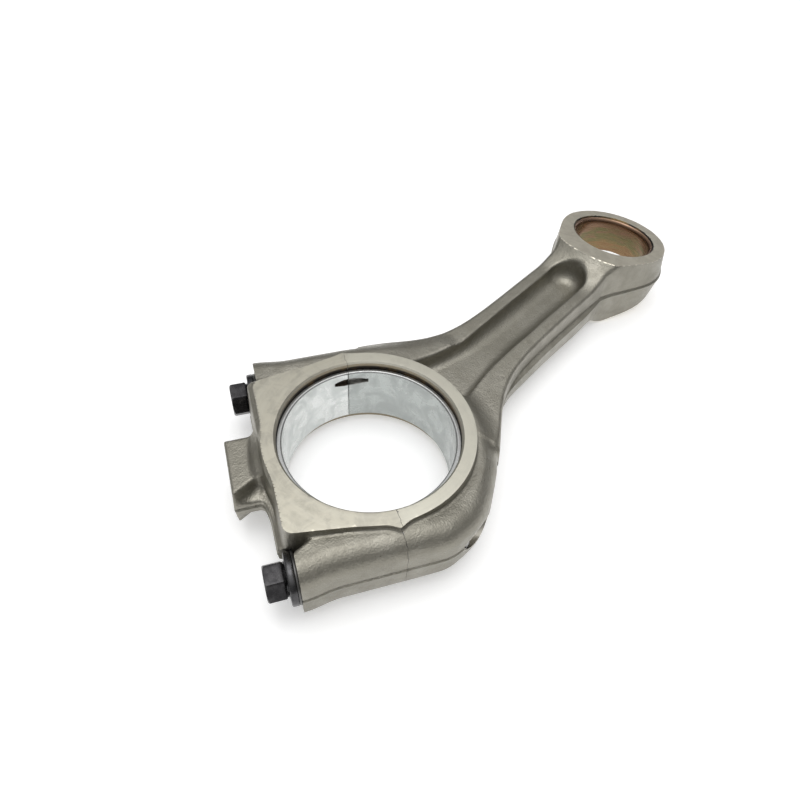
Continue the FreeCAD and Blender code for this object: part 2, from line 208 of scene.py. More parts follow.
def shank(x, y, z, rho):
    """I-section shank with its flares into both ends, before the pockets."""
    up = np.abs(z)
    root = np.where(y < 0, 22.8, 25.3) * np.exp(-(np.maximum(x - ROOT_X, 0) / 26.0) ** 1.6)
    past = np.maximum(x - NECK_X, 0)
    neck = 8.4 * np.tanh(0.46 * past * past / (past + 2.5) / 8.4)
    ledge = 2.0 * ramp(-z, -0.25, 0.45) * ramp(x, 62, 92) * (1 - 0.8 * ramp(x, 135, 165))
    width = SHANK_HALF_WIDTH + root + neck - 0.04 * up + ledge
    top = SHANK_HEIGHT + 1.7 * ramp(x, 50, 140)
    top = top + 8.4 * np.clip((53.0 - rho) / 19.7, 0, 1.2) ** 2
    bar = corner(np.abs(y) - width, up - top, 2.0)
    return np.maximum(np.maximum(bar, 36 - x), x - CENTRES)


def wedge_height(x):
    """Height of the milled face of the small end above the mid-plane."""
    return WEDGE_NEAR - WEDGE_SLOPE * (x - WEDGE_NEAR_X)


def wedge(x, z):
    """The two milled faces of the small end, as one field."""
    return (np.abs(z) - wedge_height(x)) / math.hypot(1, WEDGE_SLOPE)


def pockets(x, y, z, r):
    """Both pockets of the shank: drafted walls, a rounded end and a scooped floor."""
    up = np.abs(z)
    flare = np.where(y > 0, 5.8, 3.7) * np.clip((POCKET_FLARE_X - x) / 28.5, 0, 1.4) ** 1.6
    half = POCKET_HALF_WIDTH + flare
    round_end = np.hypot(x - POCKET_END_X, y) - half
    side = np.where(x < POCKET_END_X, np.abs(y) - half, round_end)
    side = side - 0.16 * (up - SHANK_HEIGHT)
    floor = WEB_HALF - up + 0.012 * np.maximum(x - BETWEEN_ENDS_X, 0)
    ring = POCKET_RING_R + 3.0 * ramp(-y, 4, 15) - r
    ends = smax(side, ring, 5.0)
    return smax(ends, floor, 1.6 + (2.2 + 2.7 * ramp(x, 62, 95)) * ramp(side - ring, -3, 1))


def forging(x, y, z):
    """The whole forging with its machined side faces, before any hole or the crack."""
    u, v = x * UX + y * UY, -x * UY + y * UX
    r = np.hypot(x, y)
    rho = np.hypot(x - CENTRES, y)
    up = np.abs(z)
    below = ramp(-z, -0.25, 0.45)
    # a thin flash line stands out at the parting plane, beside a shallow groove
    flash = 0.20 * np.exp(-((z + 0.3) / 0.6) ** 2) - 0.30 * np.exp(-((z - 0.75) / 0.5) ** 2)
    flash = flash * ramp(rho, 22, 26)
    draft = 0.17 * np.maximum(wedge_height(x) - up, 0) + 0.35 * below
    eye = rho - EYE_R - draft * (0.3 + 0.7 * ramp(x, 174, 196))
    beam = smin(shank(x, y, z, rho), eye, 6.0)
    solid = smin(big_end(y, z, u, v, r), beam, 5.0)
    solid = smax(solid, -pockets(x, y, z, r), 1.3) - flash
    plan = plan_of_faces(u, v, r) - 0.08 * (HALF - up)
    solid = smin(solid, corner(plan, up - HALF - 5, 0.3), 1.2)
    at_big_end = x < BETWEEN_ENDS_X
    solid = np.where(at_big_end, smax(solid, up - HALF, 0.12), smax(solid, wedge(x, z), 0.25))
    return np.maximum(solid, x - TIP_X), u, v, r, rho


def holes(solid, x, z, u, v, r, rho):
    """Cut the bores with their bevels, the bolt holes and the spot faces."""
    up = np.abs(z)
    bevel = np.maximum(up - (HALF - HOUSING_BEVEL), 0)
    solid = np.maximum(solid, HOUSING_R + bevel - r)
    small_bevel = np.maximum(wedge(x, z) + BUSH_BEVEL, 0)
    solid = np.maximum(solid, BUSH_R + small_bevel - rho)
    off = np.hypot(np.abs(v) - BOLT_V, z)
    hole = np.where(u < 0, CAP_HOLE_R, THREAD_R + 0.1)
    depth = np.where(v < 0, THROUGH_U, BLIND_U)
    solid = np.maximum(solid, -np.maximum(off - hole, u - depth))
    spot = np.maximum(off - SPOT_R, u + SEAT_U)
    return np.maximum(solid, -spot)


def rod_field(x, y, z):
    """The forging on the shank's side of the crack."""
    solid, u, v, r, rho = forging(x, y, z)
    return np.maximum(holes(solid, x, z, u, v, r, rho), fracture(v, z) + HALF_CRACK - u)


def cap_field(x, y, z):
    """The forging on the cap's side of the crack."""
    solid, u, v, r, rho = forging(x, y, z)
    return np.maximum(holes(solid, x, z, u, v, r, rho), u - fracture(v, z) + HALF_CRACK)


# ---------------------------------------------------------------- mesh from a field

STEP = 0.62
BLOCK = 6
BATCH = 400000
HALVINGS = 9


def grid_values(field, low, step, counts):
    """Field values on a grid, worked out only in blocks that the surface may cross."""
    blocks = [int(math.ceil(c / BLOCK)) for c in counts]
    size = BLOCK * step
    centres = [low[i] + (np.arange(blocks[i]) + 0.5) * size for i in range(3)]
    cx, cy, cz = np.meshgrid(*centres, indexing="ij")
    rough = field(cx.ravel(), cy.ravel(), cz.ravel()).reshape(cx.shape)
    values = np.repeat(np.repeat(np.repeat(rough, BLOCK, 0), BLOCK, 1), BLOCK, 2)
    active = np.argwhere(np.abs(rough) < size * 1.35)
    offsets = np.stack(np.meshgrid(*[np.arange(BLOCK)] * 3, indexing="ij"), -1).reshape(-1, 3)
    nodes = (active[:, None, :] * BLOCK + offsets[None]).reshape(-1, 3)
    for start in range(0, len(nodes), BATCH):
        part = nodes[start:start + BATCH]
        p = part * step + np.array(low)
        values[part[:, 0], part[:, 1], part[:, 2]] = field(p[:, 0], p[:, 1], p[:, 2])
    return values


def slopes(field, p, h=0.02):
    """Unit gradients of the field at points."""
    out = np.empty_like(p)
    for axis in range(3):
        a, b = p.copy(), p.copy()
        a[:, axis] -= h
        b[:, axis] += h
        out[:, axis] = field(*b.T) - field(*a.T)
    return out / np.maximum(np.linalg.norm(out, axis=1, keepdims=True), 1e-9)


def contour(field, low, high, step):
    """Dual contouring: points on the surface, kept sharp at edges, and quads between them."""
    low = np.array(low, float)
    counts = [int(math.ceil((high[i] - low[i]) / step / BLOCK)) * BLOCK for i in range(3)]
    values = grid_values(field, low, step, counts)
    inside = values < 0
    shape = np.array(values.shape)
    stride = np.array([shape[1] * shape[2], shape[2], 1])
    points, cells, quads = [], [], []
    for axis in range(3):
        ahead = np.roll(inside, -1, axis)
        crossing = inside != ahead
        cut = [slice(1, -1)] * 3
        mask = np.zeros_like(crossing)
        mask[tuple(cut)] = crossing[tuple(cut)]
        at = np.argwhere(mask)
        a = values[at[:, 0], at[:, 1], at[:, 2]]
        nxt = at.copy()
        nxt[:, axis] += 1
        b = values[nxt[:, 0], nxt[:, 1], nxt[:, 2]]
        lo_t, hi_t = np.zeros(len(a)), np.ones(len(a))
        start_inside = a < 0
        for _ in range(HALVINGS):
            t = 0.5 * (lo_t + hi_t)
            p = at * step + low
            p[:, axis] += t * step
            same = (field(*p.T) < 0) == start_inside
            lo_t, hi_t = np.where(same, t, lo_t), np.where(same, hi_t, t)
        p = at * step + low
        p[:, axis] += 0.5 * (lo_t + hi_t) * step
        b_axis, c_axis = (axis + 1) % 3, (axis + 2) % 3
        ids = []
        for db, dc in ((0, 0), (-1, 0), (-1, -1), (0, -1)):
            cell = at.copy()
            cell[:, b_axis] += db
            cell[:, c_axis] += dc
            ids.append(cell @ stride)
        ids = np.stack(ids, 1)
        points.append(p)
        cells.append(ids)
        quads.append(np.where(start_inside[:, None], ids, ids[:, ::-1]))
    p, cells, quads = np.concatenate(points), np.concatenate(cells), np.concatenate(quads)
    n = slopes(field, p)
    used, flat = np.unique(cells.ravel(), return_inverse=True)
    flat = flat.ravel()
    owner = np.repeat(np.arange(len(p)), 4)
    count = np.bincount(flat, minlength=len(used)).astype(float)

    def gather(w):
        return np.bincount(flat, weights=w[owner], minlength=len(used))

    middle = np.stack([gather(p[:, i]) for i in range(3)], 1) / count[:, None]
    d = np.einsum("ij,ij->i", n, p)
    a = np.empty((len(used), 3, 3))
    b = np.empty((len(used), 3))
    for i in range(3):
        b[:, i] = gather(n[:, i] * d)
        for j in range(i, 3):
            a[:, i, j] = a[:, j, i] = gather(n[:, i] * n[:, j])
    hold = 0.03 * count
    for i in range(3):
        a[:, i, i] += hold
    b += hold[:, None] * middle
    spots = np.linalg.solve(a, b[:, :, None])[:, :, 0]
    spots = np.clip(spots, middle - 0.75 * step, middle + 0.75 * step)
    lookup = np.searchsorted(used, quads)
    return spots, lookup


def mesh_object(name, points, faces, materials=(), face_slots=None, smooth=28):
    """A mesh object from points in millimetres."""
    mesh = bpy.data.meshes.new(name)
    mesh.from_pydata((np.asarray(points) * MM).tolist(), [], [list(map(int, f)) for f in faces])
    thing = bpy.data.objects.new(name, mesh)
    bpy.context.collection.objects.link(thing)
    for material in materials:
        mesh.materials.append(material)
    if face_slots is not None:
        mesh.polygons.foreach_set("material_index", np.asarray(face_slots, np.int32))
    shape = bmesh.new()
    shape.from_mesh(mesh)
    bmesh.ops.recalc_face_normals(shape, faces=shape.faces)
    shape.to_mesh(mesh)
    shape.free()
    mesh.polygons.foreach_set("use_smooth", np.ones(len(mesh.polygons), bool))
    mesh.set_sharp_from_angle(angle=math.radians(smooth))
    mesh.update()
    return thing


# ---------------------------------------------------------------- forged pieces

SKIN, MILLED, BORE, CRACK, SEAT, EYE_FACE = range(6)


def classify(points, faces, part):
    """Material slot of each face of the forging."""
    tri = np.array([f[:3] for f in faces])
    a, b, c = points[tri[:, 0]], points[tri[:, 1]], points[tri[:, 2]]
    n = np.cross(b - a, c - a)
    n = n / np.maximum(np.linalg.norm(n, axis=1, keepdims=True), 1e-9)
    m = points[faces].mean(1)
    x, y, z = m.T
    u, v = x * UX + y * UY, -x * UY + y * UX
    r, rho = np.hypot(x, y), np.hypot(x - CENTRES, y)
    nu = n[:, 0] * UX + n[:, 1] * UY
    up = np.abs(z)
    slots = np.full(len(m), SKIN)
    slots[(up > HALF - 0.12) & (np.abs(n[:, 2]) > 0.9) & (x < 90)] = MILLED
    slots[(r < HOUSING_R + 1.0) & (r > HOUSING_R - 0.5)] = BORE
    slots[(r < HOUSING_R + 1.2) & (up > HALF - HOUSING_BEVEL - 0.03)] = MILLED
    slots[(wedge(x, z) > -0.2) & (rho < 45)] = EYE_FACE
    slots[(rho < BUSH_R + 0.8) & (wedge(x, z) < -0.05)] = BORE
    face = np.abs(u - fracture(v, z)) < 0.3
    toward = nu < -0.6 if part == "rod" else nu > 0.6
    slots[face & toward] = CRACK
    off = np.hypot(np.abs(v) - BOLT_V, z)
    slots[(np.abs(u + SEAT_U) < 0.15) & (nu < -0.8) & (off < 13)] = SEAT
    depth = np.where(v < 0, THROUGH_U, BLIND_U + 0.5)
    slots[(off < CAP_HOLE_R + 0.3) & (u < depth) & (r < 64)] = SEAT
    return slots


def forged_piece(name, field, low, high, part, materials):
    """The mesh of one side of the cracked forging, inside a box in millimetres."""
    points, faces = contour(field, low, high, STEP)
    slots = classify(points, faces, part)
    return mesh_object(name, points, faces, materials, slots)


# ---------------------------------------------------------------- turned and pressed pieces

def grid_faces(rows, columns):
    """Quads between neighbouring rows of a grid of points."""
    i, j = np.meshgrid(np.arange(rows - 1), np.arange(columns), indexing="ij")
    k = (j + 1) % columns
    quad = np.stack([i * columns + j, i * columns + k, (i + 1) * columns + k, (i + 1) * columns + j], -1)
    return quad.reshape(-1, 4)


def rounded(profile, size, steps=3):
    """A closed (radius, height) outline with each corner cut round."""
    pts = [np.array(p, float) for p in profile]
    out = []
    for i, p in enumerate(pts):
        a, b = pts[i - 1], pts[(i + 1) % len(pts)]
        da, db = a - p, b - p
        la, lb = np.linalg.norm(da), np.linalg.norm(db)
        cut = min(size, 0.4 * la, 0.4 * lb)
        start, end = p + da / la * cut, p + db / lb * cut
        for t in np.linspace(0, 1, steps + 1):
            out.append((1 - t) ** 2 * start + 2 * t * (1 - t) * p + t * t * end)
    return out


def place_on_bolt(points, v, start_u):
    """Points (a, b, w) round a bolt axis at v, with w counted outwards from start_u."""
    a, b, w = np.asarray(points, float).T
    u, vv = start_u - w, v + a
    return np.stack([u * UX - vv * UY, u * UY + vv * UX, b], 1)


def loft(rings):
    """Points and faces through equal rings of points, closed by a flat face at both ends."""
    columns = len(rings[0])
    points = np.concatenate(rings)
    faces = [tuple(f) for f in grid_faces(len(rings), columns)]
    faces.append(tuple(range(columns))[::-1])
    faces.append(tuple(range(len(points) - columns, len(points))))
    return points, faces


def bush_piece(name, materials):
    """Wedge-ended bush with a wide bevel inside each rim."""
    inset, wall = 0.6, BUSH_R - SMALL_BORE_R - 0.02
    columns = 180
    angles = np.linspace(0, 2 * math.pi, columns, endpoint=False)
    lip = [(wall, 0.2), (wall - 0.1, 0.03), (wall - 0.25, 0.0),
           (0.85, 0.28), (0.45, 0.75), (0.15, 1.45), (0.0, 2.3)]
    inner_edge = lip[-1][1]

    def ring(w, side, down):
        radius = SMALL_BORE_R + w
        x = CENTRES + radius * np.cos(angles)
        return np.stack([x, radius * np.sin(angles), side * (wedge_height(x) - inset - down)], 1)

    rings = [ring(w, -1, down) for w, down in lip[::-1]] + [ring(w, 1, down) for w, down in lip]
    rings += [ring(0, t, inner_edge) for t in np.linspace(1, -1, 15)[1:-1]]
    return closed_rings(name, rings, materials)


def closed_rings(name, rings, materials):
    """A mesh round an axis, its last ring joined back to the first."""
    columns = len(rings[0])
    last = (len(rings) - 1) * columns
    j = np.arange(columns)
    k = (j + 1) % columns
    faces = np.concatenate([grid_faces(len(rings), columns), np.stack([last + j, last + k, k, j], 1)])
    return mesh_object(name, np.concatenate(rings), faces, materials, smooth=50)


def shell_piece(name, side, materials):
    """Half bearing shell: steel back, lining inside, bevelled rims and the dent of its tang."""
    gap = 0.0034
    long = ROD_TANG_LONG if side > 0 else CAP_TANG_LONG
    ends = np.concatenate([[0, 0.006, 0.014], np.arange(0.022, 0.22, 0.008)])
    middle = np.linspace(ends[-1], math.pi - 2 * gap - ends[-1], 80)[1:-1]
    around = np.concatenate([ends, middle, (math.pi - 2 * gap) - ends[::-1]]) - math.pi / 2 + gap
    bevel, lip = 0.55, 0.25
    outer = HOUSING_R - 0.03
    inner = PIN_R + 0.02
    low = -SHELL_HALF
    section = [(inner, low + bevel), (PIN_R + 0.3, low + 0.12), (PIN_R + bevel, low),
               (PIN_R + LINING_WALL + 0.6, low), (outer - lip, low), (outer, low + lip)]
    rows = [(outer, z) for z in np.linspace(low + 1, SHELL_HALF - 1, 5)]
    top = [(r, -z) for r, z in section[::-1]]
    # dense rows where the dent is
    inner_z = np.concatenate([np.linspace(SHELL_HALF - bevel, 11.4, 6)[1:], np.arange(11.15, 6.0, -0.22),
                              np.linspace(6.0, low + bevel, 24)[:-1]])
    inside = [(inner, z) for z in inner_z]
    profile = np.array(section + rows + top + inside)
    count = len(profile)
    on_lining = profile[:, 0] < PIN_R + 0.1
    points, depths = [], []
    for step, angle in enumerate(around):
        relief = {0: 0.22, 1: 0.06}.get(min(step, len(around) - 1 - step), 0.0)
        along = abs(PIN_R * math.cos(angle)) if angle > 0 else 99.0
        half = 0.75 + 1.25 * max(0.0, 1 - (along / long) ** 2)
        beside = (half - np.abs(profile[:, 1] - TANG_Z)) / 0.3
        dent = np.clip(np.minimum((long - along) / 0.5, beside), 0, 1)
        dent = dent * dent * (3 - 2 * dent) * on_lining
        radius = profile[:, 0] + 1.5 * dent + relief * on_lining
        u, v = radius * math.cos(angle) * side, radius * math.sin(angle)
        points.append(np.stack([u * UX - v * UY, u * UY + v * UX, profile[:, 1]], 1))
        depths.append(dent)
    faces = grid_faces(len(around), count)
    order = np.tile(np.arange(count), len(around) - 1)
    slots = ((order >= count - len(inside) - 1) | (order < 2)).astype(int)
    slots[np.concatenate(depths)[faces].max(1) > 0.25] = 2
    slots = np.append(slots, [0, 0])
    last = count * (len(around) - 1)
    faces = [tuple(f) for f in faces]
    faces += [tuple(range(count)), tuple(range(last, last + count))[::-1]]
    return mesh_object(name, np.concatenate(points), faces, materials, slots, smooth=32)


def hexagon(flats, angle, turn, soft=0.35):
    """Radius of a hexagon with softened corners at an angle."""
    best = None
    for k in range(6):
        d = np.cos(angle - turn - k * math.pi / 3)
        edge = np.where(d > 0.3, flats / 2 / np.maximum(d, 0.3), 1e3)
        best = edge if best is None else smin(best, edge, soft)
    return best


def bolt_piece(name, v, turn, materials):
    """Flanged hex bolt with a washer face, a waist and a rolled thread."""
    flange, neck, hexagonal = 2.8, 0.8, 7.0
    flats, flange_r, neck_r, waist_r = 13.0, 10.0, 6.3, 4.9
    shank_r = THREAD_R - 0.02
    seat = -SEAT_U - WASHER_THICK
    tip_u, collar = 26.0, 6.0
    columns = 96
    angles = np.linspace(0, 2 * math.pi, columns, endpoint=False)
    cos, sin = np.cos(angles), np.sin(angles)
    rings, marks = [], []

    def ring(radius, w, mark=0):
        radius = np.broadcast_to(radius, cos.shape)
        w = np.broadcast_to(w, cos.shape)
        rings.append(np.stack([radius * cos, radius * sin, w], 1))
        marks.append(mark)

    base, top = flange + neck, flange + neck + hexagonal
    hexed = hexagon(flats, angles, turn)
    chamfer_r = flats / 2 - 0.1
    slope = math.tan(math.radians(28))
    for share, sink in ((0.05, 0.25), (0.55, 0.25), (0.75, 0.25), (0.8, 0.0), (0.97, 0.0)):
        ring(chamfer_r * share, top - sink)
    ring(chamfer_r, top - 0.03)
    for t in np.linspace(0.15, 1, 4):
        radius = chamfer_r + (hexed - chamfer_r) * t
        ring(radius, top - np.maximum(radius - chamfer_r, 0) * slope - 0.03 - 0.1 * t)
    low = top - np.maximum(hexed - chamfer_r, 0) * slope
    for t in np.linspace(0.06, 0.94, 7):
        ring(hexed + 0.03, low - 0.15 + (base + 0.3 - low) * t)
    ring(hexed - 0.15, base + 0.12)
    ring(hexed - 0.45, base)
    ring(neck_r, base - 0.05, 1)
    ring(neck_r - 0.1, base - 0.35, 1)
    ring(neck_r + 0.15, flange + 0.12, 1)
    shoulder = [(9.9, 0.12), (9.6, 0.02), (9.0, 0.0), (5.7, 0.0)]
    brow = [(7.0, 0.0), (8.9, 0.05), (9.5, 0.12), (9.8, 0.3), (9.95, 0.6), (flange_r, 1.0)]
    for radius, w in [(r, flange - down) for r, down in brow] + [(flange_r, 0.35)] + shoulder:
        ring(radius, w, 1)
    ring(shank_r, -0.5, 2)
    ring(shank_r, -collar, 2)
    ring(waist_r, -collar - 1.0, 2)
    start, end = seat + 4.0, seat - tip_u
    ring(waist_r, start + 1.5, 2)
    for w in np.arange(start, end + 1.6, -THREAD_PITCH / 8):
        phase = (w / THREAD_PITCH - angles / (2 * math.pi)) % 1.0
        depth = np.abs(phase - 0.5) * 2
        ease = min(1.0, (start - w) / 1.5, (w - end - 1.2) / 1.5)
        radius = THREAD_R - 0.03 - 0.62 * np.clip(1.25 * depth - 0.12, 0, 1) * max(ease, 0.15)
        ring(np.minimum(radius, 5.47), w, 2)
    ring(4.6, end + 0.8, 2)
    ring(4.0, end + 0.1, 2)
    ring(3.6, end, 2)
    points, faces = loft(rings)
    slots = np.repeat([max(a, b) for a, b in zip(marks[:-1], marks[1:])], columns).tolist() + [0, 2]
    return mesh_object(name, place_on_bolt(points, v, seat), faces, materials, slots, smooth=24)


def washer_piece(name, v, materials):
    """Thin hard washer with rolled edges."""
    angles = np.linspace(0, 2 * math.pi, 96, endpoint=False)
    inner, outer, low, high = 5.8, 9.95, 0.02, WASHER_THICK - 0.02
    section = rounded([(inner, low), (outer, low), (outer, high), (inner, high)], 0.28)
    cos, sin = np.cos(angles), np.sin(angles)
    rings = [np.stack([r * cos, r * sin, np.full_like(cos, w)], 1) for r, w in section]
    rings = [place_on_bolt(ring, v, -SEAT_U) for ring in rings]
    return closed_rings(name, rings, materials)


# ---------------------------------------------------------------- materials

class Finish:
    """A node material, with short calls for the nodes it is made from. Positions are in millimetres."""

    def __init__(self, name, **constants):
        self.material = bpy.data.materials.new(name)
        self.material.use_nodes = True
        self.tree = self.material.node_tree
        self.shader = self.tree.nodes["Principled BSDF"]
        for socket, value in constants.items():
            self.shader.inputs[socket.replace("_", " ")].default_value = value
        coordinates = self.tree.nodes.new("ShaderNodeTexCoord")
        scale = self.node("ShaderNodeVectorMath", operation="SCALE")
        scale.inputs["Scale"].default_value = 1 / MM
        self.link(coordinates.outputs["Object"], scale.inputs[0])
        self.place = scale.outputs[0]

    def node(self, kind, **settings):
        node = self.tree.nodes.new(kind)
        for key, value in settings.items():
            setattr(node, key, value)
        return node

    def link(self, source, target):
        self.tree.links.new(source, target)

    def feed(self, socket, value):
        if isinstance(value, bpy.types.NodeSocket):
            self.link(value, socket)
        else:
            socket.default_value = value

    def math(self, operation, a, b=0.0):
        node = self.node("ShaderNodeMath", operation=operation)
        self.feed(node.inputs[0], a)
        self.feed(node.inputs[1], b)
        return node.outputs[0]

    def split(self):
        node = self.node("ShaderNodeSeparateXYZ")
        self.link(self.place, node.inputs[0])
        return node.outputs[:]

    def join(self, x, y, z):
        node = self.node("ShaderNodeCombineXYZ")
        for socket, value in zip(node.inputs, (x, y, z)):
            self.feed(socket, value)
        return node.outputs[0]

    def polar(self, centre_x=0.0):
        """(radius, angle, z) about a vertical axis."""
        x, y, z = self.split()
        x = self.math("SUBTRACT", x, centre_x)
        squares = self.math("ADD", self.math("MULTIPLY", x, x), self.math("MULTIPLY", y, y))
        radius = self.math("SQRT", squares)
        return radius, self.math("ARCTAN2", y, x), z

    def stretched(self, sx, sy, sz):
        node = self.node("ShaderNodeMapping")
        node.inputs["Scale"].default_value = (sx, sy, sz)
        self.link(self.place, node.inputs["Vector"])
        return node.outputs[0]

    def noise(self, size, detail=3.0, roughness=0.55, vector=None, distortion=0.0):
        """Noise whose features are about size millimetres across."""
        node = self.node("ShaderNodeTexNoise")
        node.inputs["Scale"].default_value = 1 / size
        node.inputs["Detail"].default_value = detail
        node.inputs["Roughness"].default_value = roughness
        node.inputs["Distortion"].default_value = distortion
        self.link(vector or self.place, node.inputs["Vector"])
        return node.outputs["Fac"]

    def cells(self, size):
        """Distance from the middle of cells about size millimetres across."""
        node = self.node("ShaderNodeTexVoronoi", feature="F1")
        node.inputs["Scale"].default_value = 1 / size
        self.link(self.place, node.inputs["Vector"])
        return node.outputs["Distance"]

    def levels(self, value, low, high, out_low=0.0, out_high=1.0):
        node = self.node("ShaderNodeMapRange", interpolation_type="SMOOTHSTEP")
        self.link(value, node.inputs["Value"])
        ends = (("From Min", low), ("From Max", high), ("To Min", out_low), ("To Max", out_high))
        for socket, number in ends:
            node.inputs[socket].default_value = number
        return node.outputs[0]

    def blend(self, amount, a, b):
        node = self.node("ShaderNodeMix", data_type="RGBA")
        self.feed(node.inputs["Factor"], amount)
        self.feed(node.inputs[6], a if isinstance(a, bpy.types.NodeSocket) else (*a, 1))
        self.feed(node.inputs[7], b if isinstance(b, bpy.types.NodeSocket) else (*b, 1))
        return node.outputs[2]

    def ramp(self, value, *stops):
        node = self.node("ShaderNodeValToRGB")
        elements = node.color_ramp.elements
        while len(elements) < len(stops):
            elements.new(0.5)
        for element, (at, colour) in zip(elements, stops):
            element.position = at
            element.color = (*colour, 1)
        self.link(value, node.inputs[0])
        return node.outputs[0]

    def bump(self, height, depth, below=None):
        """Bump of a depth in millimetres, on top of another bump."""
        node = self.node("ShaderNodeBump")
        node.inputs["Strength"].default_value = 1.0
        node.inputs["Distance"].default_value = depth * MM
        self.link(height, node.inputs["Height"])
        if below is not None:
            self.link(below, node.inputs["Normal"])
        return node.outputs[0]

    def finish(self, colour, roughness, normal=None):
        self.feed(self.shader.inputs["Base Color"], colour)
        self.feed(self.shader.inputs["Roughness"], roughness)
        if normal is not None:
            self.link(normal, self.shader.inputs["Normal"])
        return self.material


def forged_skin():
    """Shot-blasted and phosphated forging skin: olive grey, pebbled, with a fine glitter."""
    f = Finish("forged_skin", Metallic=0.92)
    broad = f.noise(38.0, 3.0, 0.6)
    patch = f.noise(7.0, 4.0, 0.6)
    grain = f.noise(0.5, 3.0, 0.62)
    pebble = f.cells(0.8)
    base = f.blend(f.levels(broad, 0.38, 0.62), (0.275, 0.262, 0.220), (0.320, 0.305, 0.262))
    base = f.blend(f.levels(patch, 0.35, 0.72, 0.0, 0.55), base, (0.225, 0.213, 0.178))
    base = f.blend(f.levels(grain, 0.55, 0.75, 0.0, 0.5), base, (0.47, 0.45, 0.40))
    rough = f.math("ADD", f.levels(grain, 0.35, 0.7, 0.30, 0.50), f.levels(patch, 0.3, 0.7, -0.04, 0.06))
    normal = f.bump(f.noise(2.6, 2.0, 0.5), 0.13)
    normal = f.bump(pebble, 0.07, normal)
    normal = f.bump(grain, 0.12, normal)
    return f.finish(base, rough, normal)


def milled_face():
    """Side faces of the big end: pale, turned in fine rings, smudged on the cap."""
    f = Finish("milled_face", Metallic=0.85)
    radius, angle, _ = f.polar()
    lines = f.noise(0.35, 2.0, 0.5, vector=f.join(radius, f.math("MULTIPLY", angle, 0.9), 0.0))
    wide = f.noise(1.6, 2.0, 0.5, vector=f.join(radius, f.math("MULTIPLY", angle, 1.3), 3.0))
    smudge = f.noise(6.5, 5.0, 0.68, distortion=0.6)
    x, y, _ = f.split()
    u = f.math("SUBTRACT", f.math("MULTIPLY", x, UX), f.math("MULTIPLY", y, -UY))
    rod_side = f.levels(u, -2.0, 2.0)
    base = f.blend(f.levels(smudge, 0.42, 0.66), (0.50, 0.475, 0.395), (0.40, 0.38, 0.32))
    base = f.blend(f.levels(wide, 0.35, 0.7, 0.0, 0.35), base, (0.57, 0.55, 0.47))
    base = f.blend(f.math("MULTIPLY", rod_side, 0.6), base, (0.60, 0.585, 0.505))
    nick = f.levels(f.noise(2.1, 6.0, 0.75, distortion=1.5), 0.66, 0.74, 0.0, 0.7)
    base = f.blend(nick, base, (0.25, 0.24, 0.22))
    rough = f.levels(lines, 0.3, 0.7, 0.30, 0.46)
    normal = f.bump(lines, 0.012)
    normal = f.bump(f.noise(1.3, 3.0, 0.6), 0.015, normal)
    return f.finish(base, rough, normal)


def plain_metal(name, colour, other, metallic, rough, size, depth):
    f = Finish(name, Metallic=metallic)
    fine = f.noise(size, 3.0, 0.6)
    broad = f.noise(size * 9, 3.0, 0.6)
    base = f.blend(f.levels(broad, 0.35, 0.65), colour, other)
    return f.finish(base, f.levels(fine, 0.3, 0.7, rough - 0.06, rough + 0.08), f.bump(fine, depth))


def eye_face():
    """Ground wedge faces of the small end."""
    f = Finish("eye_face", Metallic=0.85)
    lines = f.noise(0.4, 2.0, 0.5, vector=f.stretched(1.0, 0.06, 1.0))
    smudge = f.noise(5.0, 4.0, 0.6, distortion=0.4)
    base = f.blend(f.levels(smudge, 0.38, 0.66), (0.76, 0.715, 0.60), (0.66, 0.615, 0.51))
    base = f.blend(f.levels(lines, 0.45, 0.75, 0.0, 0.4), base, (0.72, 0.69, 0.60))
    return f.finish(base, f.levels(lines, 0.3, 0.7, 0.30, 0.44), f.bump(lines, 0.01))


def lining(name, colour, cloudy):
    """Bearing metal: satin silver with a cloudy polish and faint run-in marks."""
    f = Finish(name, Metallic=0.9)
    _, angle, z = f.polar()
    brushed = f.noise(0.5, 3.0, 0.5, vector=f.join(f.math("MULTIPLY", angle, 3.0), z, 0.0))
    cloud = f.noise(9.0, 4.0, 0.62, distortion=0.8)
    base = f.blend(f.levels(cloud, 0.36, 0.66), colour, cloudy)
    rough = f.math("ADD", f.levels(cloud, 0.35, 0.65, 0.22, 0.40), f.levels(brushed, 0.3, 0.7, -0.03, 0.03))
    return f.finish(base, rough, f.bump(brushed, 0.006))


def shell_back():
    f = Finish("shell_back", Metallic=0.95)
    fine = f.noise(0.8, 3.0, 0.6)
    base = f.blend(f.levels(fine, 0.35, 0.65), (0.50, 0.505, 0.50), (0.42, 0.425, 0.42))
    return f.finish(base, f.levels(fine, 0.3, 0.7, 0.26, 0.38), f.bump(fine, 0.002))


def bronze():
    """Bush bore: bored copper-tin, pink-brown at the rims and olive where heat has tinted the middle."""
    f = Finish("bush_bronze", Metallic=0.9)
    _, angle, z = f.polar(CENTRES)
    rings = f.noise(0.5, 2.0, 0.5, vector=f.join(f.math("MULTIPLY", angle, 0.6), z, 0.0))
    round_bore = f.join(f.math("MULTIPLY", angle, 6.0), f.math("MULTIPLY", z, 1.4), 0.0)
    cloud = f.noise(4.0, 4.0, 0.6, vector=round_bore)
    band = f.math("ADD", f.math("MULTIPLY", z, 0.028), f.math("MULTIPLY", cloud, 0.9))
    base = f.ramp(band, (0.10, (0.25, 0.155, 0.085)), (0.30, (0.30, 0.20, 0.105)),
                  (0.45, (0.20, 0.19, 0.095)), (0.62, (0.29, 0.185, 0.12)), (0.85, (0.34, 0.22, 0.16)))
    base = f.blend(f.levels(rings, 0.4, 0.75, 0.0, 0.25), base, (0.38, 0.27, 0.18))
    return f.finish(base, f.levels(rings, 0.3, 0.7, 0.2, 0.32), f.bump(rings, 0.006))


